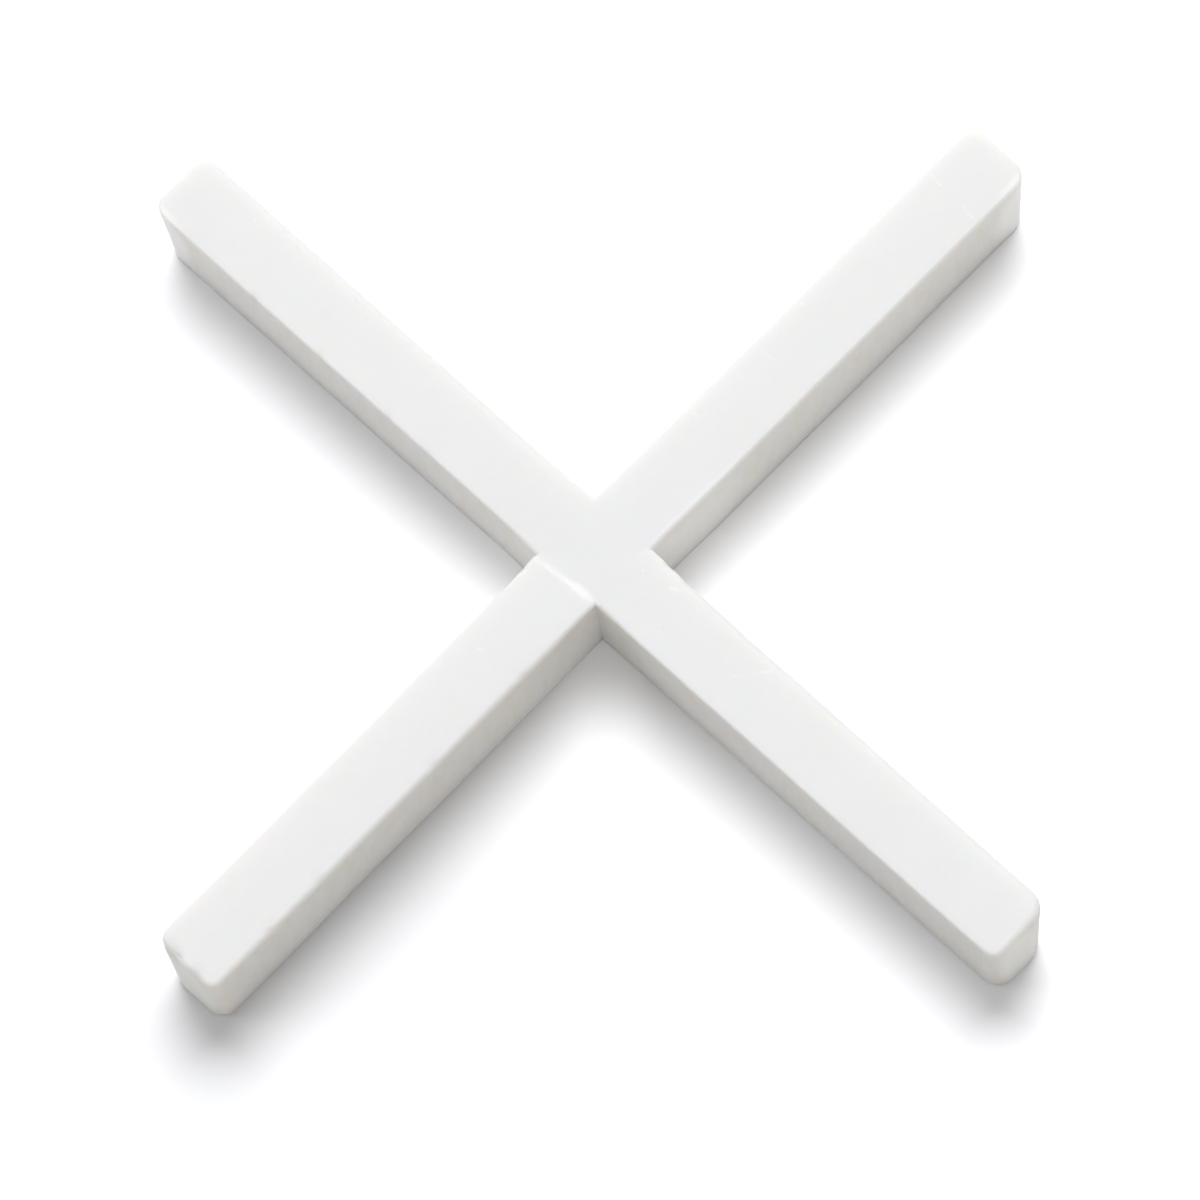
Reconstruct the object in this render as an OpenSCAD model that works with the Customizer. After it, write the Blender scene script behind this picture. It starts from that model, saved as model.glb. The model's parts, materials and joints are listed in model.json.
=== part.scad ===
/* [Joint] */
// Width of the joint that the spacer sets: an arm's greatest width, just under its upper face
joint_w = 2.0; // [1.2:0.1:6]

/* [Cross] */
// Length over two arms in line, from tip to tip
span = 30.0; // [16:0.5:60]
// Thickness, from the face that it lies on to the upper face
thick = 2.9; // [1.4:0.1:6]

/* [Moulding] */
// Draft of every wall in degrees, which leaves the arms narrower at the foot
draft = 1.0; // [0:0.25:3]
// Radius of a tip's upright corners at the upper face, seen from above
tip_r = 0.42; // [0.2:0.02:0.56]
// Radius of the same corners at the foot, where they are rounder
tip_foot_r = 0.7; // [0.2:0.02:0.8]
// Radius of the upper edges
edge_r = 0.12; // [0.06:0.01:0.4]
// Radius of the lower edges
foot_r = 0.08; // [0.04:0.01:0.3]

/* [Hidden] */
plastic = "#eeeeec";
arc_steps = 5;
corner_steps = 7;
// Share of an arm's half width that a tip's corner may take
corner_share = 0.9;
// Height at which an arm is widest: where the wall runs into the rounded upper edge
widest_z = thick - edge_r * (1 + sin(draft));

// Inset at height z of the wall's plane from the widest outline
function wall_inset(z) = (widest_z - z) * tan(draft);

// Radius of a tip's corners at height z and this inset: the lower, the rounder
function corner_r(inset, z) =
    let (r = tip_foot_r + (tip_r - tip_foot_r) * z / thick - inset)
    max(min(r, corner_share * (joint_w / 2 - inset)), foot_r / 2);

// One rounded edge as points of [inset, height]: radius r, its centre at height zc, which is
// tangent to the wall, from angle a to angle b above the horizontal
function edge_arc(r, zc, a, b) = [
    for (i = [0:arc_steps])
        let (t = a + (b - a) * i / arc_steps)
        [r / cos(draft) + wall_inset(zc) - r * cos(t), zc + r * sin(t)]
];

// The wall's section from the foot to the upper face, as points of [inset, height]
function wall_section() = concat(
    edge_arc(foot_r, foot_r, -90, -draft),
    edge_arc(edge_r, thick - edge_r, -draft, 90)
);

// The outline of a bar at one height, as points of a ring: half lengths hx and hy, corners of radius r
function ring(hx, hy, r, z) = [
    for (quarter = [0:3], i = [0:corner_steps])
        let (
            t = 90 * (quarter + i / corner_steps),
            sx = (quarter == 0 || quarter == 3) ? 1 : -1,
            sy = (quarter < 2) ? 1 : -1
        )
        [sx * (hx - r) + r * cos(t), sy * (hy - r) + r * sin(t), z]
];

// One straight bar of two arms, lofted through its outlines from the foot to the upper face
module bar() {
    section = wall_section();
    points = [
        for (p = section)
            each ring(span / 2 - p[0], joint_w / 2 - p[0], corner_r(p[0], p[1]), p[1])
    ];
    n = 4 * (corner_steps + 1);
    top = len(section) - 1;
    walls = [
        for (level = [0:top - 1], i = [0:n - 1])
            let (a = level * n + i, b = level * n + (i + 1) % n)
            [a, a + n, b + n, b]
    ];
    foot_face = [for (i = [0:n - 1]) i];
    upper_face = [for (i = [0:n - 1]) top * n + n - 1 - i];
    polyhedron(points = points, faces = concat(walls, [foot_face], [upper_face]));
}

// The spacer: two bars moulded as one cross
module spacer() {
    color(plastic)
        union() {
            bar();
            rotate([0, 0, 90])
                bar();
        }
}

spacer();
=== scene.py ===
"""A cross tile spacer of white moulded plastic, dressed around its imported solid."""

import json
import math
from collections import namedtuple

import bmesh
import bpy
import numpy as np
from mathutils import Matrix, Vector

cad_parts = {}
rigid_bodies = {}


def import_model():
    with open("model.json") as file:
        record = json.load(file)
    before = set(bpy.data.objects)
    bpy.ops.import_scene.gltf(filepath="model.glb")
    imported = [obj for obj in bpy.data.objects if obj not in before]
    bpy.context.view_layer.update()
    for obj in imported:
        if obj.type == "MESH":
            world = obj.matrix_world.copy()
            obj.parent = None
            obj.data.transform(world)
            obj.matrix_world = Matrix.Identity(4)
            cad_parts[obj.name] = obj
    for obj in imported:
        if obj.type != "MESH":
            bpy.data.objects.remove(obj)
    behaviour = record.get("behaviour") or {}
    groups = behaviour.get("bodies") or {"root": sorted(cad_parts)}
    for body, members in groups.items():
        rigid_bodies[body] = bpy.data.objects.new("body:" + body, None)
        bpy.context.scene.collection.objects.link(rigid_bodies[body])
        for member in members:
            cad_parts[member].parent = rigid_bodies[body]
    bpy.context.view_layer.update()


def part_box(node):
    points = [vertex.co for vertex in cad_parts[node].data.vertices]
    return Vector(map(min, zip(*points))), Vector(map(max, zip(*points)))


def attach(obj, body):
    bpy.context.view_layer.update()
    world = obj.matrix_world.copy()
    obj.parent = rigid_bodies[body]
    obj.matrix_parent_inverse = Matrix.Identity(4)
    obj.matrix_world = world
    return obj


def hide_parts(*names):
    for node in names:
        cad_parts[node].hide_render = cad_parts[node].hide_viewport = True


bl_info = {
    "name": "Cross Tile Spacer",
    "version": (1, 0, 0),
    "blender": (4, 5, 0),
    "location": "3D View > Sidebar > Spacer",
    "description": "Builds a moulded plastic cross spacer for tile joints and the table that it lies on",
    "category": "Add Mesh",
}

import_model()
SOLID_LOW, SOLID_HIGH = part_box("spacer")

MM = 0.001
# The side of the photograph in pixels, and the width of the camera's sensor
FRAME_PX = 1200
SENSOR_MM = 36.0

# The form of one arm in its own frame, where it points along +X and its left side is at +Y. All lengths are
# in millimetres: the radius of each upper edge and of the lower edges, the radius of the tip's upright
# corners, how far each side stands out past the joint width, and how far the tip sways to the left.
ArmForm = namedtuple(
    "ArmForm",
    "name left_edge right_edge end_edge foot_edge left_corner right_corner left_out right_out sway",
    defaults=(0.0, 0.0, 0.0),
)
ARMS = (
    ArmForm("east", 0.20, 0.06, 0.20, 0.13, left_corner=0.60, right_corner=0.31, right_out=0.03),
    ArmForm("north", 0.10, 0.10, 0.16, 0.03, left_corner=0.36, right_corner=0.52, right_out=0.05),
    ArmForm("west", 0.06, 0.20, 0.12, 0.03, left_corner=0.46, right_corner=0.33),
    ArmForm("south", 0.15, 0.06, 0.15, 0.14, left_corner=0.28, right_corner=0.40, left_out=0.04, sway=0.11),
)

# Rows of an arm's mesh in its four stretches from the root to the tip, and columns across it
ROOT_ROWS, SHAFT_ROWS, END_ROWS, TIP_ROWS = 36, 120, 56, 12
ACROSS = 24
# Steps round the lower edge, up the wall and round the upper edge
FOOT_STEPS, WALL_STEPS, EDGE_STEPS = 4, 8, 8
# Where the stretches meet, in millimetres: the root's end from the middle, the others from the tip
ROOT_END = 1.6
END_START, TIP_START = 2.4, 0.85
# Length in millimetres over which an arm takes on its own form past the root
FORM_BLEND = 2.0
# Distance in millimetres under which points of two arms are welded
WELD = 0.002
# Angle from which the shading breaks at an edge
SHARP_ANGLE = math.radians(40)

# A mark on the plastic, or a patch of painted light or shade, in the cross's own frame: its middle, its
# half length and half width in millimetres, its turn from +X in degrees, and its strength.
Mark = namedtuple("Mark", "x y long wide turn strength")
# A painted highlight: the slope of the step at the root of the south arm, drawn pale in the colour
PAINTED_STEP_HIGHLIGHT = (
    Mark(0.48, -1.00, 0.66, 0.185, 5, 0.55),
    Mark(-0.30, -1.07, 0.75, 0.140, 4, 0.38),
)
# The fine line across the north arm
WITNESS_LINE = (
    Mark(-0.72, 13.23, 0.16, 0.022, -8, 0.4),
    Mark(-0.46, 13.20, 0.15, 0.030, -8, 0.65),
    Mark(0.47, 13.15, 0.14, 0.022, -12, 0.45),
    Mark(0.72, 13.12, 0.20, 0.026, 2, 0.6),
)
SCUFFS = (
    Mark(-0.78, 8.44, 0.10, 0.035, -15, 0.40),
    Mark(-0.50, 6.83, 0.38, 0.040, 2, 0.22),
    Mark(-0.09, 4.41, 0.13, 0.028, 4, 0.45),
    Mark(-0.68, 4.40, 0.20, 0.050, 4, 0.25),
    Mark(5.45, 0.60, 0.24, 0.050, 46, 0.35),
    Mark(5.03, 0.05, 0.26, 0.040, 42, 0.22),
    Mark(2.22, 0.64, 0.24, 0.070, 20, 0.3),
    Mark(1.27, 0.45, 0.06, 0.050, 0, 0.6),
    Mark(10.96, 0.26, 0.06, 0.022, 45, 0.5),
    Mark(-14.75, 0.76, 0.06, 0.030, 10, 0.7),
    Mark(-12.74, 0.55, 0.09, 0.030, -70, 0.4),
    Mark(-0.93, -1.58, 0.07, 0.040, 60, 1.0),
    Mark(-0.27, -3.87, 0.16, 0.060, 30, 0.3),
)
# Painted light on the walls: pale ends of two near walls and pale end walls, where light comes through the
# tips, and the pale root of the north arm's wall
PAINTED_WALL_LIGHT = (
    Mark(-14.70, -0.95, 1.15, 0.30, 0, 1.2),
    Mark(0.95, 14.70, 1.40, 0.30, 90, 1.2),
    Mark(0.98, 2.50, 3.00, 0.30, 90, 0.5),
    Mark(15.00, -0.15, 1.05, 0.35, 90, 0.8),
    Mark(0.10, -15.00, 1.05, 0.35, 0, 0.5),
)
# Small dark specks. The long one is painted shade along the far edge of the south arm.
SPECKS_AND_PAINTED_SHADE = (
    Mark(7.26, -0.03, 0.060, 0.020, 40, 0.15),
    Mark(2.71, -0.29, 0.110, 0.022, -60, 0.22),
    Mark(-1.03, -3.60, 3.20, 0.130, 90, 0.28),
    Mark(-11.93, 0.84, 0.16, 0.040, 12, 0.10),
    Mark(-11.33, 0.76, 0.16, 0.040, -20, 0.10),
    Mark(-9.23, 0.73, 0.18, 0.040, -30, 0.10),
    Mark(-7.44, 0.78, 0.16, 0.050, 40, 0.08),
    Mark(-6.53, 0.80, 0.16, 0.050, 20, 0.08),
    Mark(-2.25, 0.56, 0.09, 0.035, 0, 0.08),
)

# A nick in an upper edge: its place along and across in the cross's own frame, how far it reaches and
# how deep it cuts, in millimetres.
Nick = namedtuple("Nick", "x y reach depth")
NICKS = (
    Nick(1.00, -3.66, 0.10, 0.030),
    Nick(1.00, -6.90, 0.12, 0.035),
    Nick(1.06, -11.10, 0.15, 0.040),
    Nick(1.08, -12.90, 0.12, 0.030),
    Nick(-0.62, -15.00, 0.20, 0.050),
    Nick(-0.34, -15.00, 0.20, 0.080),
    Nick(-0.12, -15.00, 0.13, 0.100),
    Nick(0.52, -15.00, 0.18, 0.060),
    Nick(-11.26, -1.00, 0.12, 0.040),
    Nick(-8.88, -1.00, 0.10, 0.030),
    Nick(-6.44, -1.00, 0.10, 0.025),
    Nick(-4.99, -1.00, 0.10, 0.030),
    Nick(1.63, 1.00, 0.12, 0.040),
    Nick(2.31, 1.00, 0.14, 0.040),
    Nick(-0.96, -1.58, 0.10, 0.040),
)

# An inner corner between two arms: its place in the cross's own frame and how far it stands out, in
# millimetres. It stands out less and less up to about the reach.
InnerCorner = namedtuple("InnerCorner", "x y out")
INNER_CORNERS = (
    InnerCorner(-1.0, -1.0, 0.055),
    InnerCorner(1.0, 1.0, 0.035),
    InnerCorner(-1.0, 1.0, 0.035),
    InnerCorner(1.0, -1.0, 0.015),
)
CORNER_REACH = 0.9

# The step's lip, in millimetres: how far it lies inside the south arm's root, how much it slants over the
# arm's half width and how far it reaches past the arm's sides. Then the share of the slope's width at its
# narrow end.
LIP_IN, LIP_SLANT, LIP_PAST = 0.04, 0.08, 0.1
NARROW_END = 0.3

# The wander of the walls and faces: how many waves it adds up, the range of their lengths in millimetres,
# and how many times its height the upper face lies lower, which keeps the face inside the solid's box
WAVES = 6
WAVE_LENGTHS = (1.6, 5.0)
WAVER_DROP = 2
# Depth in millimetres from the upper face within which a point counts as on the face
FACE_DEPTH = 0.02

# Scales of the plastic's patterns per metre: its cloud, its grain, the tremble of the marks' outlines, and
# the stains and the pits of its walls
CLOUD_SCALE, GRAIN_SCALE, TREMBLE_SCALE = 900.0, 9000.0, 14000.0
STAIN_SCALE, PIT_SCALE = 3200.0, 8000.0
# How far the marks' outlines tremble, and the depth under the upper face to which marks on it reach
TREMBLE = 0.03 * MM
MARK_DEPTH = 0.4 * MM
# How far the painted light on the walls reaches up and down from its middle, as a share of the thickness
PAINTED_LIGHT_REACH = 0.8
# Where marks start to fade, as a share of their size
MARK_CORE = 0.3
# The cloud's warm and cool ends, against the plastic's colour
WARM, COOL = (1.0, 0.998, 0.990), (0.997, 1.0, 1.002)
# Depths under the upper face from which the walls' stains, painted shade and pits are full and at which
# they end
WALL_FULL, WALL_END = 0.25 * MM, 0.12 * MM
# Levels of the stains' noise that give the least and the most stain, and how strong those are. The least is
# a painted warm shade that lies on every wall.
STAIN_LEVELS = (0.40, 0.75)
STAIN_AND_SHADE_STRENGTHS = (0.12, 0.75)
# How far the walls' grain is drawn out upward: heights count for this share
WALL_DRAW = 0.35
# Height and strength of the bumps, and the height of the fine grain against the walls' pits
BUMP_HEIGHT, BUMP_STRENGTH = 0.02 * MM, 0.5
GRAIN_SHARE = 0.09
# How much the roughness varies with the cloud
CLOUD_ROUGHNESS = 0.10
# How far red, green and blue light travel inside, against the depth
COLOUR_DEPTHS = (1.0, 0.82, 0.55)

# Half the side of the floor, in metres
FLOOR_HALF = 3.0
# Where the floor's slant of painted shade, lighter to the north and darker to the south, starts and ends,
# as shares of an arm's length from the middle to the north
SLANT_SOUTH, SLANT_NORTH = -0.6, 0.2
# The nearest and the farthest thing that the camera sees, as shares of its distance
CLIP_NEAR, CLIP_FAR = 0.05, 50
WHITE = (1.0, 1.0, 1.0)


class CrossSizes(bpy.types.PropertyGroup):
    """Sizes of the moulded cross."""

    span: bpy.props.FloatProperty(
        name="Span", description="Length over two arms in line", unit="LENGTH",
        default=SOLID_HIGH.x - SOLID_LOW.x)
    thick: bpy.props.FloatProperty(
        name="Thickness", description="From the foot to the upper face", unit="LENGTH",
        default=SOLID_HIGH.z - SOLID_LOW.z)
    joint_w: bpy.props.FloatProperty(
        name="Joint width", description="Width of an arm just under its upper face", unit="LENGTH",
        default=2.0 * MM)
    draft: bpy.props.FloatProperty(
        name="Draft", description="Slope of every wall", subtype="ANGLE", default=math.radians(1.0))
    corner_growth: bpy.props.FloatProperty(
        name="Corner growth", description="How much rounder a tip's corners are at the foot", unit="LENGTH",
        default=0.25 * MM)
    root_edge: bpy.props.FloatProperty(
        name="Root edge", description="Radius of the upper edges where two arms meet", unit="LENGTH",
        default=0.10 * MM)
    root_foot: bpy.props.FloatProperty(
        name="Root foot", description="Radius of the lower edges where two arms meet", unit="LENGTH",
        default=0.04 * MM)
    crown: bpy.props.FloatProperty(
        name="Crown", description="Fall of the upper face from its middle line to its edges", unit="LENGTH",
        default=0.03 * MM)


class MouldMarks(bpy.types.PropertyGroup):
    """Marks that the mould and the bench have left."""

    step: bpy.props.FloatProperty(
        name="Step", description="How far the south arm stands above the middle where they meet",
        unit="LENGTH", default=0.055 * MM)
    step_reach: bpy.props.FloatProperty(
        name="Step reach", description="How far from the step the middle comes up again", unit="LENGTH",
        default=1.5 * MM)
    step_run: bpy.props.FloatProperty(
        name="Step run", description="Width of the step's slope at its wide end", unit="LENGTH",
        default=0.18 * MM)
    line: bpy.props.FloatProperty(
        name="Witness line", description="Height of the line across the north arm", unit="LENGTH",
        default=0.004 * MM)
    waver: bpy.props.FloatProperty(
        name="Waver", description="How far the walls and faces wander from flat", unit="LENGTH",
        default=0.006 * MM)


class PlasticFinish(bpy.types.PropertyGroup):
    """Colour and surface of the plastic."""

    colour: bpy.props.FloatVectorProperty(
        name="Colour", description="Colour of the plastic", subtype="COLOR", size=3,
        default=(0.816, 0.819, 0.825))
    # The same pale colour stands for the scuffs, the painted highlight on the step and the painted light on
    # the walls
    scuff_and_painted_light: bpy.props.FloatVectorProperty(
        name="Scuff", description="Colour where the plastic is scuffed", subtype="COLOR", size=3,
        default=(0.97, 0.97, 0.96))
    # The same dark colour stands for the specks and for the painted shade on the south arm's far edge
    speck_and_painted_shade: bpy.props.FloatVectorProperty(
        name="Speck", description="Colour of the small dark specks", subtype="COLOR", size=3,
        default=(0.42, 0.41, 0.38))
    # Colour of the walls' stains, and of the painted warm shade that lies on every wall
    stain_and_painted_shade: bpy.props.FloatVectorProperty(
        name="Stain", description="Colour of the walls where they are stained", subtype="COLOR", size=3,
        default=(0.79, 0.735, 0.65))
    roughness: bpy.props.FloatProperty(
        name="Roughness", description="Roughness of the moulded surface", subtype="FACTOR", default=0.55)
    gloss: bpy.props.FloatProperty(
        name="Gloss", description="Strength of the mirrored light", subtype="FACTOR", default=0.3)
    glow: bpy.props.FloatProperty(
        name="Translucency", description="Share of the light that travels inside", subtype="FACTOR",
        default=0.8)
    depth: bpy.props.FloatProperty(
        name="Depth", description="How far light travels inside", unit="LENGTH", default=0.5 * MM)
    bloom: bpy.props.FloatProperty(
        name="Bloom", description="Pale bloom that shows on edges seen at a slant", subtype="FACTOR",
        default=0.1)


class StudioSettings(bpy.types.PropertyGroup):
    """Camera, lamps and floor."""

    azimuth: bpy.props.FloatProperty(
        name="Azimuth", description="Turn of the camera round the object", subtype="ANGLE",
        default=math.radians(54.6))
    elevation: bpy.props.FloatProperty(
        name="Elevation", description="Height of the camera above the horizon", subtype="ANGLE",
        default=math.radians(69.9))
    roll: bpy.props.FloatProperty(
        name="Roll", description="Turn of the camera about its own line of sight", subtype="ANGLE",
        default=math.radians(-11.1))
    distance: bpy.props.FloatProperty(
        name="Distance", description="From the camera to the middle of the cross", unit="LENGTH",
        default=302.0 * MM)
    focal_px: bpy.props.FloatProperty(
        name="Focal length", description="Focal length in pixels of the photograph", default=11829.0)
    middle_px: bpy.props.FloatVectorProperty(
        name="Middle", description="Where the middle of the cross lies in the photograph, in pixels",
        size=2, default=(598.3, 569.9))
    floor_seen: bpy.props.FloatProperty(
        name="Floor seen", description="Brightness of the floor in the picture against full white",
        default=1.17)
    floor_tint: bpy.props.FloatVectorProperty(
        name="Floor tint", description="Tint of the floor in the picture, which keeps its shadows grey",
        size=3, default=(0.995, 1.0, 1.025))
    floor_slant: bpy.props.FloatProperty(
        name="Floor slant", description="How much brighter the picture shows the floor at the north arm,"
        " and how much darker at the south arm", subtype="FACTOR", default=0.11)
    floor_fall: bpy.props.FloatProperty(
        name="Floor fall", description="How much more light the floor throws back above the cross than"
        " below it", subtype="FACTOR", default=0.16)
    floor_bounce: bpy.props.FloatProperty(
        name="Floor bounce", description="Share of light that the floor throws back at the object",
        subtype="FACTOR", default=0.83)
    key: bpy.props.FloatProperty(
        name="Key", description="Share of the light that comes from the key lamp", subtype="FACTOR",
        default=0.58)
    sky: bpy.props.FloatProperty(
        name="Sky", description="Share of the light that comes from all round", subtype="FACTOR",
        default=0.28)
    left_fill: bpy.props.FloatProperty(
        name="Left fill", description="What the low lamp at the left gives a wall that is turned to it",
        subtype="FACTOR", default=0.045)
    right_fill: bpy.props.FloatProperty(
        name="Right fill", description="What the low lamp at the right gives a wall that is turned to it",
        subtype="FACTOR", default=0.115)
    fill_colour: bpy.props.FloatVectorProperty(
        name="Fill colour", description="Colour of the fill lamps", subtype="COLOR", size=3,
        default=(1.0, 0.955, 0.83))
    fill_height: bpy.props.FloatProperty(
        name="Fill height", description="Height of the fill lamps above the horizon", subtype="ANGLE",
        default=math.radians(7.0))
    fill_turn: bpy.props.FloatProperty(
        name="Fill turn", description="How far each fill lamp stands to its side of the picture's bottom",
        subtype="ANGLE", default=math.radians(45.0))
    fill_spread: bpy.props.FloatProperty(
        name="Fill spread", description="Width of a fill lamp as the object sees it", subtype="ANGLE",
        default=math.radians(14.0))
    side: bpy.props.FloatProperty(
        name="Side lamp", description="What the lamp at the left gives a face turned to it",
        subtype="FACTOR", default=0.10)
    side_height: bpy.props.FloatProperty(
        name="Side height", description="Height of the lamp at the left above the horizon", subtype="ANGLE",
        default=math.radians(32.0))
    side_spread: bpy.props.FloatProperty(
        name="Side spread", description="Width of the lamp at the left as the object sees it",
        subtype="ANGLE", default=math.radians(30.0))
    key_height: bpy.props.FloatProperty(
        name="Key height", description="Height of the key lamp above the horizon", subtype="ANGLE",
        default=math.radians(64.0))
    key_far: bpy.props.FloatProperty(
        name="Key distance", description="From the key lamp to the cross", unit="LENGTH",
        default=600.0 * MM)
    key_turn: bpy.props.FloatProperty(
        name="Key turn", description="How far above the cross the key lamp looks", subtype="ANGLE",
        default=math.radians(30.0))
    key_spread: bpy.props.FloatProperty(
        name="Key spread", description="Width of the key lamp as the object sees it", subtype="ANGLE",
        default=math.radians(35.0))


# Nodes


class Wire:
    """A node's output that takes part in sums as a number does."""

    def __init__(self, tree, socket):
        self.tree = tree
        self.socket = socket

    def _sum(self, operation, first, second):
        node = self.tree.nodes.new("ShaderNodeMath")
        node.operation = operation
        for slot, value in zip(node.inputs, (first, second)):
            if isinstance(value, Wire):
                self.tree.links.new(value.socket, slot)
            else:
                slot.default_value = value
        return Wire(self.tree, node.outputs[0])

    def __add__(self, other):
        return self._sum("ADD", self, other)

    def __radd__(self, other):
        return self._sum("ADD", other, self)

    def __sub__(self, other):
        return self._sum("SUBTRACT", self, other)

    def __rsub__(self, other):
        return self._sum("SUBTRACT", other, self)

    def __mul__(self, other):
        return self._sum("MULTIPLY", self, other)

    def __rmul__(self, other):
        return self._sum("MULTIPLY", other, self)


class Tree:
    """A node tree that is built by calls."""

    def __init__(self, tree):
        self.tree = tree

    def node(self, kind, settings=None, values=None):
        """Adds a node: its settings first, then the values or wires of its sockets."""
        made = self.tree.nodes.new(kind)
        for name, value in (settings or {}).items():
            setattr(made, name, value)
        for name, value in (values or {}).items():
            slot = made.inputs[name]
            if isinstance(value, Wire):
                self.tree.links.new(value.socket, slot)
            else:
                slot.default_value = value
        return made

    def wire(self, kind, output, settings=None, values=None):
        """Adds a node and gives the wire from one of its outputs."""
        return Wire(self.tree, self.node(kind, settings, values).outputs[output])


def new_material(name):
    """An empty material and its tree."""
    material = bpy.data.materials.new(name)
    material.use_nodes = True
    material.node_tree.nodes.clear()
    return material, Tree(material.node_tree)


# The cross


def ease(t):
    """Smooth step from 0 to 1 as t goes from 0 to 1."""
    t = np.clip(t, 0, 1)
    return t * t * (3 - 2 * t)


def side_path(half_w, corner, start, end):
    """Points and normals from a tip's start row, along the side and half way round its corner."""
    straight = (end - corner) - start
    length = straight + corner * math.pi / 4
    points, normals = [], []
    for i in range(TIP_ROWS + 1):
        s = length * i / TIP_ROWS
        if s <= straight:
            points.append((start + s, half_w))
            normals.append((0.0, 1.0))
        else:
            t = math.pi / 2 - (s - straight) / corner
            points.append((end - corner + corner * math.cos(t), half_w - corner + corner * math.sin(t)))
            normals.append((math.cos(t), math.sin(t)))
    return np.array(points), np.array(normals)


def end_path(half_w, left, right, end):
    """Points and normals from the middle of a tip's left corner over its end to the middle of the right."""
    arcs = (left * math.pi / 4, right * math.pi / 4)
    straight = 2 * half_w - left - right
    length = sum(arcs) + straight
    points, normals = [], []
    for i in range(ACROSS + 1):
        s = length * i / ACROSS
        if s < arcs[0]:
            t = math.pi / 4 - s / left
            points.append((end - left + left * math.cos(t), half_w - left + left * math.sin(t)))
        elif s <= arcs[0] + straight:
            t = 0.0
            points.append((end, half_w - left - (s - arcs[0])))
        else:
            t = -(s - arcs[0] - straight) / right
            points.append((end - right + right * math.cos(t), -half_w + right + right * math.sin(t)))
        normals.append((math.cos(t), math.sin(t)))
    return np.array(points), np.array(normals)


def arm_rows(half_span):
    """Places along an arm of its rows, in millimetres: fine at the root and the end, wider between."""
    root = np.linspace(0, ROOT_END, ROOT_ROWS + 1)[:-1]
    shaft = np.linspace(ROOT_END, half_span - END_START, SHAFT_ROWS + 1)[:-1]
    end = np.linspace(half_span - END_START, half_span - TIP_START, END_ROWS + 1)
    return np.concatenate([root, shaft, end])


def arm_outline(form, half_w, half_span, root_edge):
    """One arm's widest outline from the root's left corner round the tip to the root's right corner.

    Gives points, normals, the radius of the upper edge at each, and whether each is on a straight side.
    """
    rows = arm_rows(half_span)
    blend = ease((rows - half_w) / FORM_BLEND)
    left_tip, left_n = side_path(half_w, form.left_corner, rows[-1], half_span)
    right_tip, right_n = side_path(half_w, form.right_corner, rows[-1], half_span)
    end, end_n = end_path(half_w, form.left_corner, form.right_corner, half_span)
    right_tip, right_n = right_tip * (1, -1), right_n * (1, -1)
    n = len(rows)
    side = np.stack([rows, np.full(n, half_w)], 1)
    up = np.tile((0.0, 1.0), (n, 1))
    turn = ease(np.linspace(0, 1, TIP_ROWS + 1))
    over = np.linspace(0, 1, ACROSS + 1)
    left_mid = (form.left_edge + form.end_edge) / 2
    right_mid = (form.right_edge + form.end_edge) / 2
    hump = np.sin(over * math.pi)
    points = np.concatenate([side, left_tip[1:], end[1:], right_tip[::-1][1:], (side * (1, -1))[::-1][1:]])
    normals = np.concatenate([up, left_n[1:], end_n[1:], right_n[::-1][1:], -up[1:]])
    radii = np.concatenate([
        root_edge + (form.left_edge - root_edge) * blend,
        (form.left_edge + (left_mid - form.left_edge) * turn)[1:],
        (left_mid + (right_mid - left_mid) * over
         + hump * (form.end_edge - (left_mid + right_mid) / 2))[1:],
        (form.right_edge + (right_mid - form.right_edge) * turn)[::-1][1:],
        (root_edge + (form.right_edge - root_edge) * blend)[::-1][1:],
    ])
    straight = np.zeros(len(points), bool)
    straight[:n] = True
    straight[-n:] = True
    return points, normals, radii, straight


def wall_levels(radii, foot, thick, draft):
    """Insets and heights of the wall at each level, from the foot face to the upper face.

    The radii of the upper and the lower edge are given for each point of the outline.
    """
    slope, tilt = math.tan(draft), math.cos(draft)
    widest = thick - radii * (1 + math.sin(draft))
    insets, heights = [], []

    def arc(r, centre, t):
        insets.append(r / tilt + (widest - centre) * slope - r * math.cos(t))
        heights.append(centre + r * math.sin(t) + 0 * radii)

    for i in range(FOOT_STEPS + 1):
        arc(foot, foot, -math.pi / 2 + (math.pi / 2 - draft) * i / FOOT_STEPS)
    wall_foot = len(insets) - 1
    for i in range(EDGE_STEPS + 1):
        arc(radii, thick - radii, -draft + (math.pi / 2 + draft) * i / EDGE_STEPS)
    insets, heights = np.array(insets), np.array(heights)
    share = np.arange(1, WALL_STEPS)[:, None] / WALL_STEPS
    low, high = wall_foot, wall_foot + 1
    between_in = insets[low] + (insets[high] - insets[low]) * share
    between_up = heights[low] + (heights[high] - heights[low]) * share
    insets = np.concatenate([insets[:high], between_in, insets[high:]])
    heights = np.concatenate([heights[:high], between_up, heights[high:]])
    return insets, heights


def row_place(row, y):
    """Place along the arm of a row at y from its middle line: rows lean to the mitre at the root."""
    y = np.abs(y)
    return np.where(row < ROOT_END, y + row * (ROOT_END - y) / ROOT_END, row)


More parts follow.
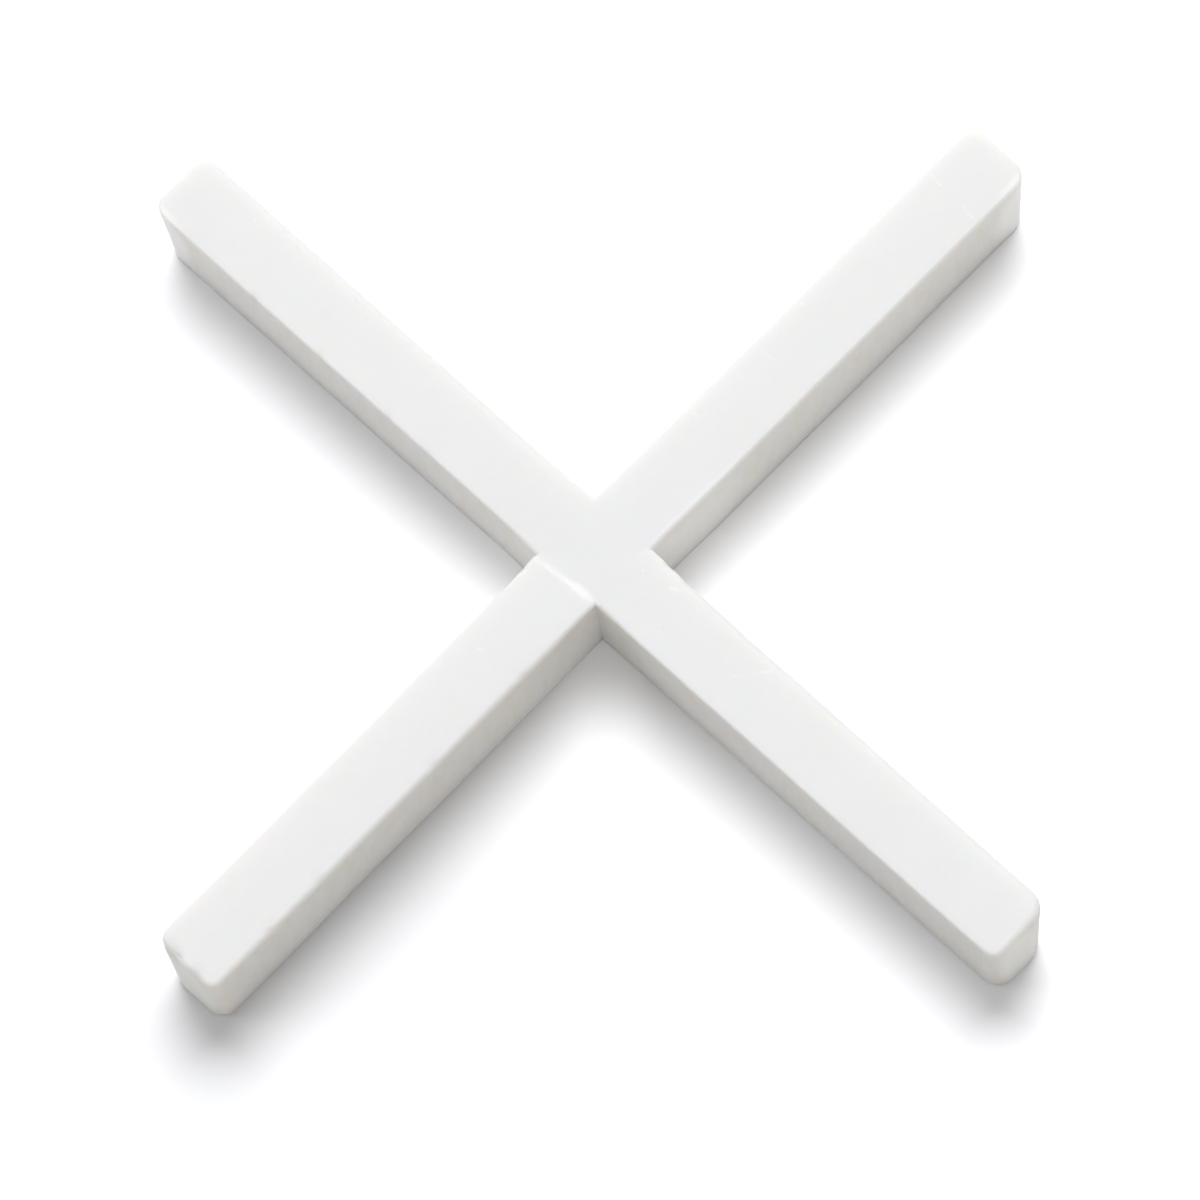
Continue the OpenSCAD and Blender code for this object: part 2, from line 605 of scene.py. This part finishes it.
def face_grid(ring, rows_n):
    """Points of a flat face inside a ring of outline points: rows along the arm, places across it."""
    last = rows_n + TIP_ROWS
    left = ring[: last + 1]
    end = ring[last: last + ACROSS + 1]
    right = ring[last + ACROSS:][::-1]
    across = np.linspace(0, 1, ACROSS + 1)[None, :, None]
    grid = left[:, None] * (1 - across) + right[:, None] * across
    u = np.linspace(0, 1, TIP_ROWS + 1)[:, None, None]
    tip_l, tip_r = left[rows_n:], right[rows_n:]
    first = grid[rows_n]
    patch = (
        tip_l[:, None] * (1 - across) + tip_r[:, None] * across
        + first[None] * (1 - u) + end[None] * u
        - (1 - u) * ((1 - across) * first[0] + across * first[-1])
        - u * ((1 - across) * end[0] + across * end[-1])
    )
    grid[rows_n:] = patch
    return grid


def side_shift(form, x, y, half_w, half_span):
    """How far to the left each point moves, for sides that stand out and an arm that sways."""
    blend = ease((x - half_w) / FORM_BLEND)
    left, right = (1 + y / half_w) / 2, (1 - y / half_w) / 2
    along = np.clip((x - half_w) / (half_span - half_w), 0, 1)
    return (form.left_out * left - form.right_out * right) * blend + form.sway * along


def arm_mesh(form, sizes):
    """One arm from the mitres at the middle of the cross to its tip, as a shell open at the mitres."""
    half_w, half_span = sizes.joint_w / MM / 2, sizes.span / MM / 2
    upper, upper_n, radii, straight = arm_outline(form, half_w, half_span, sizes.root_edge / MM)
    growth = sizes.corner_growth / MM
    grown = {name: getattr(form, name) + growth for name in ("left_corner", "right_corner")}
    lower, lower_n, _, _ = arm_outline(form._replace(**grown), half_w, half_span, sizes.root_edge / MM)
    root_foot = sizes.root_foot / MM
    foot = root_foot + (form.foot_edge - root_foot) * ease((upper[:, 0] - half_w) / FORM_BLEND)
    insets, heights = wall_levels(radii, foot, sizes.thick / MM, sizes.draft)
    share = heights[:, :, None] * MM / sizes.thick
    rings = (lower + (upper - lower) * share) - insets[:, :, None] * (lower_n + (upper_n - lower_n) * share)
    rings[:, straight, 0] = row_place(upper[straight, 0], rings[:, straight, 1])
    rows_n = len(arm_rows(half_span)) - 1
    levels, count = insets.shape
    verts = [np.concatenate([rings, heights[:, :, None]], 2).reshape(-1, 3)]
    quads = []
    for level in range(levels - 1):
        for k in range(count - 1):
            a = level * count + k
            quads.append((a, a + count, a + count + 1, a + 1))
    base = levels * count
    rows_all, across_all = rows_n + TIP_ROWS + 1, ACROSS + 1
    for level, flip in ((levels - 1, False), (0, True)):
        grid = face_grid(rings[level], rows_n)
        near_root = np.arange(rows_all) < rows_n
        rows = np.append(arm_rows(half_span), np.zeros(TIP_ROWS))[:, None]
        grid[near_root, :, 0] = row_place(rows[near_root], grid[near_root, :, 1])
        height = np.full((rows_all, across_all, 1), heights[level, 0])
        verts.append(np.concatenate([grid, height], 2).reshape(-1, 3))
        for i in range(rows_all - 1):
            for j in range(across_all - 1):
                a = base + i * across_all + j
                quad = (a, a + 1, a + across_all + 1, a + across_all)
                quads.append(quad[::-1] if flip else quad)
        base += rows_all * across_all
    points = np.concatenate(verts)
    points[:, 1] += side_shift(form, points[:, 0], points[:, 1], half_w, half_span)
    mesh = bpy.data.meshes.new("arm_" + form.name)
    mesh.from_pydata((points * MM).tolist(), [], quads)
    return mesh


def cross_tree():
    """Geometry nodes that turn one arm after another round the middle, weld them and set their plastic."""
    group = bpy.data.node_groups.new("Arms round the middle", "GeometryNodeTree")
    face = group.interface
    face.new_socket("Arms", in_out="INPUT", socket_type="NodeSocketCollection")
    face.new_socket("Count", in_out="INPUT", socket_type="NodeSocketInt")
    face.new_socket("Turn", in_out="INPUT", socket_type="NodeSocketFloat")
    face.new_socket("Weld", in_out="INPUT", socket_type="NodeSocketFloat")
    face.new_socket("Plastic", in_out="INPUT", socket_type="NodeSocketMaterial")
    face.new_socket("Cross", in_out="OUTPUT", socket_type="NodeSocketGeometry")
    tree = Tree(group)
    given = {s.name: Wire(group, s) for s in tree.node("NodeGroupInput").outputs if s.name}
    arms = tree.wire("GeometryNodeCollectionInfo", "Instances", {}, {
        "Collection": given["Arms"], "Separate Children": True, "Reset Children": True})
    places = tree.wire("GeometryNodePoints", 0, {}, {"Count": given["Count"]})
    index = tree.wire("GeometryNodeInputIndex", 0)
    turned = tree.wire("FunctionNodeAxisAngleToRotation", 0, {}, {
        "Axis": (0.0, 0.0, 1.0), "Angle": index * given["Turn"]})
    spread = tree.wire("GeometryNodeInstanceOnPoints", 0, {}, {
        "Points": places, "Instance": arms, "Pick Instance": True, "Instance Index": index,
        "Rotation": turned})
    whole = tree.wire("GeometryNodeRealizeInstances", 0, {}, {"Geometry": spread})
    welded = tree.wire("GeometryNodeMergeByDistance", 0, {}, {
        "Geometry": whole, "Distance": given["Weld"]})
    painted = tree.wire("GeometryNodeSetMaterial", 0, {}, {
        "Geometry": welded, "Material": given["Plastic"]})
    tree.node("NodeGroupOutput", {}, {"Cross": painted})
    return group


def join_arms(sizes, material):
    """The four arms as one welded mesh."""
    store = bpy.data.collections.new("arms")
    for i, form in enumerate(ARMS):
        arm = bpy.data.objects.new(f"{i}_{form.name}_arm", arm_mesh(form, sizes))
        store.objects.link(arm)
    tree = cross_tree()
    carrier = bpy.data.objects.new("arms_carrier", bpy.data.meshes.new("arms_carrier"))
    bpy.context.scene.collection.objects.link(carrier)
    modifier = carrier.modifiers.new("Arms", "NODES")
    modifier.node_group = tree
    given = {
        "Arms": store, "Count": len(ARMS), "Turn": math.tau / len(ARMS), "Weld": WELD * MM,
        "Plastic": material,
    }
    for item in tree.interface.items_tree:
        if item.in_out == "INPUT":
            modifier[item.identifier] = given[item.name]
    graph = bpy.context.evaluated_depsgraph_get()
    mesh = bpy.data.meshes.new_from_object(carrier.evaluated_get(graph), depsgraph=graph)
    bpy.data.objects.remove(carrier)
    for arm in list(store.objects):
        bpy.data.objects.remove(arm)
    bpy.data.collections.remove(store)
    return mesh


# Marks on the cross, in millimetres of its own frame


def waver(x, y, seed):
    """A slow, smooth wander between about -1 and 1."""
    rng = np.random.default_rng(seed)
    total = np.zeros_like(x)
    for _ in range(WAVES):
        turn, length, shift = rng.uniform(0, math.tau), rng.uniform(*WAVE_LENGTHS), rng.uniform(0, math.tau)
        total += np.sin((x * math.cos(turn) + y * math.sin(turn)) * math.tau / length + shift)
    return total / (WAVES / 2)


def mark_height(x, y, mark):
    """Height from 0 to 1 of a soft ridge in the shape of a mark."""
    turn = math.radians(mark.turn)
    along = ((x - mark.x) * math.cos(turn) + (y - mark.y) * math.sin(turn)) / mark.long
    aside = ((y - mark.y) * math.cos(turn) - (x - mark.x) * math.sin(turn)) / mark.wide
    return 1 - ease(np.hypot(along, aside))


def step_height(x, y, marks, half_w):
    """Height of the middle against the south arm, in millimetres: down by the step, and up again."""
    reach = marks.step_reach / MM
    wide = NARROW_END + (1 - NARROW_END) * np.clip((x + half_w) / (2 * half_w), 0, 1)
    run = marks.step_run / MM * wide
    lip = -half_w + LIP_IN + LIP_SLANT * x / half_w
    on_south = ease((lip - y) / run) * (np.abs(x) < half_w + LIP_PAST)
    away = np.hypot(y + half_w, np.maximum(np.abs(x) - half_w, 0)) / reach
    return -marks.step / MM * (1 - on_south) * np.exp(-away ** 2)


def mark_cross(mesh, sizes, marks):
    """Moves the mesh's points by what the mould and the bench have left."""
    count = len(mesh.vertices)
    flat = np.empty(count * 3, np.float32)
    mesh.vertices.foreach_get("co", flat)
    co = flat.reshape(-1, 3).astype(float) / MM
    mesh.vertex_normals.foreach_get("vector", flat)
    out = flat.reshape(-1, 3).astype(float)
    x, y, z = co.T.copy()
    thick, half_w = sizes.thick / MM, sizes.joint_w / MM / 2
    upper = ease((z - thick * 0.5) / (thick * 0.5))
    across = np.minimum(np.abs(x), np.abs(y))
    co[:, 2] -= sizes.crown / MM * (across / half_w) ** 2 * upper
    co[:, 2] += step_height(x, y, marks, half_w) * upper
    top = (z > thick - FACE_DEPTH).astype(float)
    for mark in WITNESS_LINE:
        co[:, 2] += marks.line / MM * mark_height(x, y, mark) * top
    for nick in NICKS:
        far = np.sqrt((x - nick.x) ** 2 + (y - nick.y) ** 2 + (z - thick) ** 2)
        co -= out * (nick.depth * np.exp(-(far / nick.reach) ** 2))[:, None]
    for corner in INNER_CORNERS:
        near = np.exp(-np.hypot(x - corner.x, y - corner.y) ** 2 / CORNER_REACH ** 2)
        co[:, :2] += corner.out * near[:, None] * (corner.x, corner.y)
    drift = marks.waver / MM
    co[:, 2] += drift * (waver(x, y, seed=3) - WAVER_DROP) * upper
    co[:, 0] += drift * waver(y, z, seed=5) * (np.abs(y) > half_w)
    co[:, 1] += drift * waver(x, z, seed=7) * (np.abs(x) > half_w)
    mesh.vertices.foreach_set("co", (co * MM).astype(np.float32).ravel())
    mesh.update()


# The plastic


def marked(tree, place, marks, height, tall):
    """Strength of a set of marks at a place, from 0 to 1. Each reaches up and down from this height."""
    total = 0.0
    for mark in marks:
        near = tree.wire("ShaderNodeMapping", 0, {"vector_type": "TEXTURE"}, {
            "Vector": place,
            "Location": (mark.x * MM, mark.y * MM, height),
            "Rotation": (0.0, 0.0, math.radians(mark.turn)),
            "Scale": (mark.long * MM, mark.wide * MM, tall),
        })
        far = tree.wire("ShaderNodeVectorMath", 1, {"operation": "LENGTH"}, {0: near})
        total = total + tree.wire("ShaderNodeMapRange", 0, {"interpolation_type": "SMOOTHSTEP"}, {
            "Value": far, "From Min": MARK_CORE, "From Max": 1.0, "To Min": mark.strength, "To Max": 0.0})
    return total


def plastic_material(finish, height):
    """White moulded plastic: matte and translucent, with a cloud, scuffs, specks and grainier walls, and
    with light and shade painted into its colour: a highlight on the step, light on the walls near the tips
    and at the root of the north arm, a warm shade on every wall and a shade along the south arm's far edge.

    The height is that of the upper face.
    """
    material, tree = new_material("white_plastic")
    place = tree.wire("ShaderNodeTexCoord", "Object")
    cloud = tree.wire("ShaderNodeTexNoise", 0, {}, {
        "Vector": place, "Scale": CLOUD_SCALE, "Detail": 2.0, "Roughness": 0.5})
    grain = tree.wire("ShaderNodeTexNoise", 0, {}, {
        "Vector": place, "Scale": GRAIN_SCALE, "Detail": 3.0, "Roughness": 0.6})
    tremble = tree.wire("ShaderNodeTexNoise", "Color", {"normalize": False}, {
        "Vector": place, "Scale": TREMBLE_SCALE, "Detail": 1.0})
    shaken = tree.wire("ShaderNodeVectorMath", 0, {"operation": "MULTIPLY_ADD"}, {
        0: tremble, 1: (TREMBLE,) * 3, 2: place})
    warm, cool = ([c * f for c, f in zip(finish.colour, end)] for end in (WARM, COOL))
    tint = tree.wire("ShaderNodeMix", 2, {"data_type": "RGBA"}, {
        0: cloud, 6: (*cool, 1.0), 7: (*warm, 1.0)})
    up = tree.wire("ShaderNodeSeparateXYZ", 2, {}, {"Vector": place})
    on_wall = tree.wire("ShaderNodeMapRange", 0, {}, {
        "Value": up, "From Min": height - WALL_FULL, "From Max": height - WALL_END,
        "To Min": 1.0, "To Max": 0.0})
    drawn = tree.wire("ShaderNodeVectorMath", 0, {"operation": "MULTIPLY"}, {
        0: place, 1: (1.0, 1.0, WALL_DRAW)})
    blotch = tree.wire("ShaderNodeTexNoise", 0, {}, {
        "Vector": drawn, "Scale": STAIN_SCALE, "Detail": 3.0, "Roughness": 0.7})
    # Stains on the walls, over a painted warm shade that covers every wall
    stain_and_painted_shade = tree.wire("ShaderNodeMapRange", 0, {}, {
        "Value": blotch, "From Min": STAIN_LEVELS[0], "From Max": STAIN_LEVELS[1],
        "To Min": STAIN_AND_SHADE_STRENGTHS[0], "To Max": STAIN_AND_SHADE_STRENGTHS[1]})
    tint = tree.wire("ShaderNodeMix", 2, {"data_type": "RGBA"}, {
        0: stain_and_painted_shade * on_wall, 6: tint, 7: (*finish.stain_and_painted_shade, 1.0)})
    # Pale scuffs and witness line, and the painted highlight on the step
    pale = marked(tree, shaken, PAINTED_STEP_HIGHLIGHT + WITNESS_LINE + SCUFFS, height, MARK_DEPTH)
    # Painted light on the walls near the tips and at the north arm's root
    painted_wall_light = marked(tree, shaken, PAINTED_WALL_LIGHT, height / 2, height * PAINTED_LIGHT_REACH)
    # Scuffs, with the painted highlight on the step and the painted light on the walls, in the pale colour
    scuffed_and_painted_light = tree.wire("ShaderNodeMix", 2, {"data_type": "RGBA", "clamp_factor": True}, {
        0: pale + painted_wall_light, 6: tint, 7: (*finish.scuff_and_painted_light, 1.0)})
    # Dark specks, and painted shade along the south arm's far edge
    dark = marked(tree, shaken, SPECKS_AND_PAINTED_SHADE, height, MARK_DEPTH)
    # The plastic's colour with its wear, specks and stains, and with the painted light and shade
    worn_and_painted_light = tree.wire("ShaderNodeMix", 2, {"data_type": "RGBA", "clamp_factor": True}, {
        0: dark, 6: scuffed_and_painted_light, 7: (*finish.speck_and_painted_shade, 1.0)})
    pits = tree.wire("ShaderNodeTexNoise", 0, {}, {
        "Vector": drawn, "Scale": PIT_SCALE, "Detail": 2.0, "Roughness": 0.7})
    bump = tree.wire("ShaderNodeBump", 0, {}, {
        "Strength": BUMP_STRENGTH, "Distance": BUMP_HEIGHT, "Height": GRAIN_SHARE * grain + pits * on_wall})
    surface = tree.wire("ShaderNodeBsdfPrincipled", 0, {"subsurface_method": "RANDOM_WALK"}, {
        "Base Color": worn_and_painted_light,
        "Roughness": finish.roughness + CLOUD_ROUGHNESS * (cloud - 0.5),
        "IOR": 1.49,
        "Specular IOR Level": finish.gloss,
        "Subsurface Weight": finish.glow,
        "Subsurface Radius": COLOUR_DEPTHS,
        "Subsurface Scale": finish.depth,
        "Sheen Weight": finish.bloom,
        "Sheen Roughness": 0.5,
        "Normal": bump,
    })
    tree.node("ShaderNodeOutputMaterial", {}, {"Surface": surface})
    return material


class SPACER_OT_moulded_cross(bpy.types.Operator):
    """Builds the spacer: four arms lofted, welded, marked and given their plastic."""

    bl_idname = "spacer.moulded_cross"
    bl_label = "Moulded Cross"

    def execute(self, context):
        scene = context.scene
        sizes = scene.spacer_sizes
        material = plastic_material(scene.spacer_plastic, sizes.thick)
        mesh = join_arms(sizes, material)
        if not mesh.polygons:
            raise RuntimeError("the arms gave no mesh")
        mark_cross(mesh, sizes, scene.spacer_marks)
        mesh.name = "moulded_cross"
        mesh.shade_smooth()
        mesh.set_sharp_from_angle(angle=SHARP_ANGLE)
        piece = bpy.data.objects.new("moulded_cross", mesh)
        scene.collection.objects.link(piece)
        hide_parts("spacer")
        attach(piece, "root")
        return {"FINISHED"}


# The stage


def level_direction(direction):
    """The same direction along the floor, one long."""
    return Vector((direction.x, direction.y, 0.0)).normalized()


def seen_rays(tree):
    """1 for rays that the picture shows, straight from the camera, mirrored or passed on, or else 0."""
    path = tree.node("ShaderNodeLightPath")
    camera, glossy, through = (
        Wire(tree.tree, path.outputs[name])
        for name in ("Is Camera Ray", "Is Glossy Ray", "Is Transmission Ray")
    )
    return tree.wire("ShaderNodeClamp", 0, {}, {"Value": camera + glossy + through})


def make_floor(studio, up):
    """A wide plain floor that is white in the picture and keeps the object's shadow.

    The light that it throws back at the object falls off from the top of the picture to the bottom. What
    the picture shows of it has a faint tint and a slant of painted shade, lighter at the north arm and
    darker at the south arm.
    """
    mesh = bpy.data.meshes.new("floor")
    shape = bmesh.new()
    bmesh.ops.create_grid(shape, x_segments=1, y_segments=1, size=FLOOR_HALF)
    shape.to_mesh(mesh)
    shape.free()
    floor = bpy.data.objects.new("floor", mesh)
    bpy.context.scene.collection.objects.link(floor)
    material, tree = new_material("white_table")
    reach = (SOLID_HIGH.x - SOLID_LOW.x) / 2
    place = tree.wire("ShaderNodeTexCoord", "Object")
    climb = tree.wire("ShaderNodeVectorMath", 1, {"operation": "DOT_PRODUCT"}, {
        0: place, 1: level_direction(up)})
    fall = tree.wire("ShaderNodeMapRange", 0, {}, {
        "Value": climb, "From Min": -reach, "From Max": reach,
        "To Min": 1 - studio.floor_fall, "To Max": 1 + studio.floor_fall})
    slant = tree.wire("ShaderNodeMapRange", 0, {}, {
        "Value": tree.wire("ShaderNodeSeparateXYZ", 1, {}, {"Vector": place}),
        "From Min": SLANT_SOUTH * reach, "From Max": SLANT_NORTH * reach,
        "To Min": 1 - studio.floor_slant, "To Max": 1 + studio.floor_slant})
    thrown = studio.floor_bounce * fall
    seen = seen_rays(tree)
    shades = [thrown + (studio.floor_seen * tint * slant - thrown) * seen for tint in studio.floor_tint]
    surface = tree.wire("ShaderNodeBsdfDiffuse", 0, {}, {
        "Color": tree.wire("ShaderNodeCombineColor", 0, {}, dict(zip(("Red", "Green", "Blue"), shades)))})
    tree.node("ShaderNodeOutputMaterial", {}, {"Surface": surface})
    mesh.materials.append(material)


def make_world(sky):
    """Even light from all round, seen as plain white."""
    world = bpy.data.worlds.new("studio")
    world.use_nodes = True
    world.node_tree.nodes.clear()
    tree = Tree(world.node_tree)
    strength = tree.wire("ShaderNodeMix", 0, {"data_type": "FLOAT", "clamp_factor": True}, {
        0: seen_rays(tree), 2: sky, 3: 1.0})
    light = tree.wire("ShaderNodeBackground", 0, {}, {"Color": (*WHITE, 1.0), "Strength": strength})
    tree.node("ShaderNodeOutputWorld", {}, {"Surface": light})
    bpy.context.scene.world = world


def make_camera(studio):
    """The camera of the photograph. Gives the direction of the picture's top."""
    a, e, r = studio.azimuth, studio.elevation, studio.roll
    back = Vector((math.sin(a) * math.cos(e), -math.cos(a) * math.cos(e), math.sin(e)))
    level = Vector((math.cos(a), math.sin(a), 0.0))
    climb = back.cross(level)
    right = level * math.cos(r) + climb * math.sin(r)
    up = climb * math.cos(r) - level * math.sin(r)
    middle = (SOLID_LOW + SOLID_HIGH) / 2
    per_px = studio.distance / studio.focal_px
    off_x, off_y = (place - FRAME_PX / 2 for place in studio.middle_px)
    look = middle - right * off_x * per_px + up * off_y * per_px
    data = bpy.data.cameras.new("camera")
    data.sensor_width = SENSOR_MM
    data.lens = studio.focal_px / FRAME_PX * SENSOR_MM
    data.clip_start, data.clip_end = studio.distance * CLIP_NEAR, studio.distance * CLIP_FAR
    camera = bpy.data.objects.new("camera", data)
    bpy.context.scene.collection.objects.link(camera)
    turn = Matrix((right, up, back)).transposed().to_4x4()
    camera.matrix_world = Matrix.Translation(look + back * studio.distance) @ turn
    bpy.context.scene.camera = camera
    return up


def make_softbox(studio, up):
    """The key lamp: a round softbox beyond the top of the picture, turned to look past the cross."""
    height, far = studio.key_height, studio.key_far
    data = bpy.data.lights.new("key", "AREA")
    data.shape = "DISK"
    data.size = 2 * far * math.tan(studio.key_spread / 2) / math.cos(studio.key_turn)
    data.energy = 4 * math.pi * studio.key * far ** 2 / (math.cos(studio.key_turn) * math.sin(height))
    lamp = bpy.data.objects.new("key", data)
    out = level_direction(up)
    place = out * math.cos(height) + Vector((0, 0, math.sin(height)))
    looks = height - studio.key_turn
    facing = out * math.cos(looks) + Vector((0, 0, math.sin(looks)))
    turn = facing.to_track_quat("Z", "Y").to_matrix().to_4x4()
    lamp.matrix_world = Matrix.Translation(place * far + Vector((0, 0, SOLID_HIGH.z))) @ turn
    bpy.context.scene.collection.objects.link(lamp)


def make_far_lamp(name, towards, height, spread, strength, colour):
    """A lamp far off in a level direction and at a height. Its strength is what it gives a face at it."""
    data = bpy.data.lights.new(name, "SUN")
    data.angle = spread
    data.color = colour
    data.energy = strength * math.pi
    lamp = bpy.data.objects.new(name, data)
    place = towards * math.cos(height) + Vector((0, 0, math.sin(height)))
    lamp.rotation_mode = "QUATERNION"
    lamp.rotation_quaternion = place.to_track_quat("Z", "Y")
    bpy.context.scene.collection.objects.link(lamp)


def make_fills(studio, up):
    """Two low fill lamps and a higher one at the left.

    Each of the low ones looks along two of the arms at the near walls of the other two.
    """

    def below(turn):
        return Matrix.Rotation(turn, 3, "Z") @ level_direction(-up)

    for name, turn in (("left_fill", -studio.fill_turn), ("right_fill", studio.fill_turn)):
        make_far_lamp(
            name, below(turn), studio.fill_height, studio.fill_spread, getattr(studio, name),
            studio.fill_colour)
    make_far_lamp(
        "side", below(-math.pi / 2), studio.side_height, studio.side_spread, studio.side, WHITE)


class SPACER_OT_stage(bpy.types.Operator):
    """Sets up the camera, the floor, the even light and the lamps."""

    bl_idname = "spacer.stage"
    bl_label = "Stage"

    def execute(self, context):
        studio = context.scene.spacer_studio
        up = make_camera(studio)
        make_floor(studio, up)
        make_world(studio.sky)
        make_softbox(studio, up)
        make_fills(studio, up)
        context.scene.view_settings.view_transform = "Standard"
        return {"FINISHED"}


class SPACER_PT_sidebar(bpy.types.Panel):
    """Lists the steps and their settings."""

    bl_label = "Cross Tile Spacer"
    bl_idname = "SPACER_PT_sidebar"
    bl_space_type = "VIEW_3D"
    bl_region_type = "UI"
    bl_category = "Spacer"

    def draw(self, context):
        scene = context.scene
        for operator, groups in (
            (SPACER_OT_moulded_cross, (scene.spacer_sizes, scene.spacer_marks, scene.spacer_plastic)),
            (SPACER_OT_stage, (scene.spacer_studio,)),
        ):
            box = self.layout.box()
            box.operator(operator.bl_idname)
            for group in groups:
                for name in group.__annotations__:
                    box.prop(group, name)


GROUPS = {
    "spacer_sizes": CrossSizes,
    "spacer_marks": MouldMarks,
    "spacer_plastic": PlasticFinish,
    "spacer_studio": StudioSettings,
}
CLASSES = (*GROUPS.values(), SPACER_OT_moulded_cross, SPACER_OT_stage, SPACER_PT_sidebar)


def register():
    for cls in CLASSES:
        bpy.utils.register_class(cls)
    for name, group in GROUPS.items():
        setattr(bpy.types.Scene, name, bpy.props.PointerProperty(type=group))


def unregister():
    for name in GROUPS:
        delattr(bpy.types.Scene, name)
    for cls in reversed(CLASSES):
        bpy.utils.unregister_class(cls)


def main():
    register()
    bpy.ops.spacer.stage()
    bpy.ops.spacer.moulded_cross()


if __name__ == "__main__":
    main()
